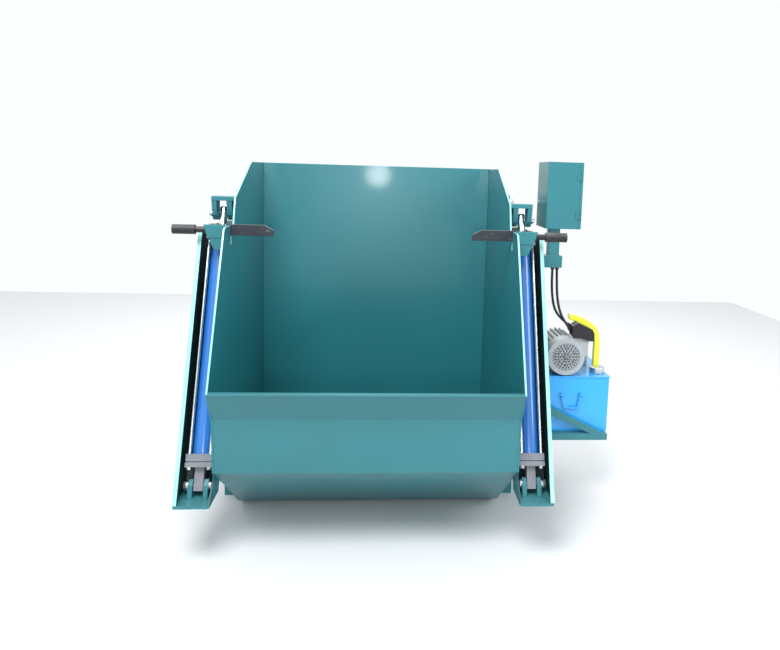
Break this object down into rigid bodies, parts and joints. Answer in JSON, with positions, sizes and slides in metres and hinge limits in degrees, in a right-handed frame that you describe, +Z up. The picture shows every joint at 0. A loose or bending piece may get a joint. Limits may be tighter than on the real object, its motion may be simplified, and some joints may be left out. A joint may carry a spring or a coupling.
{
  "type": "hydraulic tipping bucket loader",
  "caption": "Floor-standing loader with a deep steel bucket that hydraulic cylinders tip over backwards between leaning side columns.",
  "frame": {"origin": "middle of the low rear cross beam's underside, on the floor", "axes": "+X across the machine towards the power unit, +Y towards the rear, away from the bucket's lip, +Z up"},
  "size_m": [1.961, 1.302, 1.618],
  "materials": {
    "green_paint": "semi-gloss teal-green enamel",
    "cylinder_blue": "gloss blue enamel",
    "cap_grey": "grey primer",
    "zinc": "bright zinc plate",
    "rod_chrome": "polished chrome",
    "bar_dark": "dark grey mill scale",
    "grip_black": "moulded black grip",
    "black_steel": "black",
    "tank_blue": "gloss sky-blue enamel",
    "lid_steel": "bright steel",
    "motor_grey": "grey enamel",
    "fan_plastic": "matte",
    "cable_rubber": "satin",
    "guard_yellow": "gloss yellow enamel"
  },
  "bodies": {
    "frame": {"anchor_plates": "green_paint", "base_rail_left": "green_paint", "base_rail_right": "green_paint", "beam_stubs": "green_paint", "cabinet_bracket": "green_paint", "cabinet_shell": "green_paint", "cable_a": "cable_rubber", "cable_b": "cable_rubber", "cable_glands": "black_steel", "cross_beam_high": "green_paint", "cross_beam_low": "green_paint", "door_hinges": "green_paint", "fan_cover": "motor_grey", "foot_ears": "green_paint", "foot_pins": "zinc", "guard": "guard_yellow", "handle_tabs": "tank_blue", "mast_left": "green_paint", "mast_right": "green_paint", "motor_body": "motor_grey", "oil_tank": "tank_blue", "post_left": "green_paint", "post_right": "green_paint", "power_shelf": "green_paint", "pump": "motor_grey", "struts_high": "green_paint", "struts_low": "green_paint", "tank_lid": "tank_blue", "terminal_box": "black_steel", "valve_block": "lid_steel"},
    "bucket": {"bucket_lip_flange": "green_paint", "bucket_pan": "green_paint", "bucket_side_left": "green_paint", "bucket_side_right": "green_paint", "corner_gussets": "green_paint", "head_bolts": "zinc", "head_brackets": "green_paint", "lever_brackets": "green_paint", "pivot_lugs": "green_paint", "pivot_shafts": "zinc"},
    "lever_left": {"lever_blade_left": "bar_dark", "lever_grip_left": "grip_black", "lever_knuckle_left": "black_steel"},
    "lever_right": {"lever_blade_right": "bar_dark", "lever_grip_right": "grip_black", "lever_knuckle_right": "black_steel"},
    "barrel_left": {"barrel_tube_left": "cylinder_blue", "base_cap_left": "cap_grey", "gland_cap_left": "cap_grey", "tie_rods_left": "zinc"},
    "barrel_right": {"barrel_tube_right": "cylinder_blue", "base_cap_right": "cap_grey", "gland_cap_right": "cap_grey", "tie_rods_right": "zinc"},
    "rod_left": {"rod_left": "rod_chrome"},
    "rod_right": {"rod_right": "rod_chrome"},
    "cabinet_door": {"cabinet_door": "green_paint"},
    "tank_handle": {"tank_handle": "tank_blue"},
    "filler_cap": {"filler_cap": "lid_steel"},
    "fan": {"fan": "fan_plastic"}
  },
  "joints": [
    {"name": "bucket_tip", "type": "hinge", "parent": "frame", "child": "bucket", "pos_m": [0, -0.192, 1.41], "axis": [-1, 0, 0], "range_deg": [0, 120]},
    {"name": "barrel_swing_left", "type": "hinge", "parent": "frame", "child": "barrel_left", "pos_m": [-0.66, -1.117, 0.305], "axis": [-1, 0, 0], "range_deg": [0, 13.2]},
    {"name": "rod_slide_left", "type": "slide", "parent": "barrel_left", "child": "rod_left", "axis": [0, 0.3828, 0.9238], "range_m": [0, 0.7905]},
    {"name": "barrel_swing_right", "type": "hinge", "parent": "frame", "child": "barrel_right", "pos_m": [0.66, -1.117, 0.305], "axis": [-1, 0, 0], "range_deg": [0, 13.2]},
    {"name": "rod_slide_right", "type": "slide", "parent": "barrel_right", "child": "rod_right", "axis": [0, 0.3828, 0.9238], "range_m": [0, 0.7905]},
    {"name": "retaining_bar_left", "type": "hinge", "parent": "bucket", "child": "lever_left", "pos_m": [-0.672, -0.852, 1.292], "axis": [0, -1, 0], "range_deg": [0, 45]},
    {"name": "retaining_bar_right", "type": "hinge", "parent": "bucket", "child": "lever_right", "pos_m": [0.672, -0.852, 1.292], "axis": [0, 1, 0], "range_deg": [0, 45]},
    {"name": "cabinet_door_hinge", "type": "hinge", "parent": "frame", "child": "cabinet_door", "pos_m": [0.928, -0.707, 1.467], "axis": [0, 0, -1], "range_deg": [0, 110]},
    {"name": "tank_handle_hinge", "type": "hinge", "parent": "frame", "child": "tank_handle", "pos_m": [0.947, -0.661, 0.524], "axis": [-1, 0, 0], "range_deg": [0, 90]},
    {"name": "filler_cap_turn", "type": "hinge", "parent": "frame", "child": "filler_cap", "pos_m": [1.086, -0.587, 0.625], "axis": [0, 0, 1], "continuous": true},
    {"name": "fan_spin", "type": "hinge", "parent": "frame", "child": "fan", "pos_m": [0.914, -0.619, 0.707], "axis": [0, 1, 0], "continuous": true}
  ],
  "couplings": [
    {"joint": "barrel_swing_left", "follows": "bucket_tip", "ratio": 0.1094},
    {"joint": "rod_slide_left", "follows": "bucket_tip", "m_per_rad": 0.377},
    {"joint": "barrel_swing_right", "follows": "bucket_tip", "ratio": 0.1094},
    {"joint": "rod_slide_right", "follows": "bucket_tip", "m_per_rad": 0.377}
  ]
}
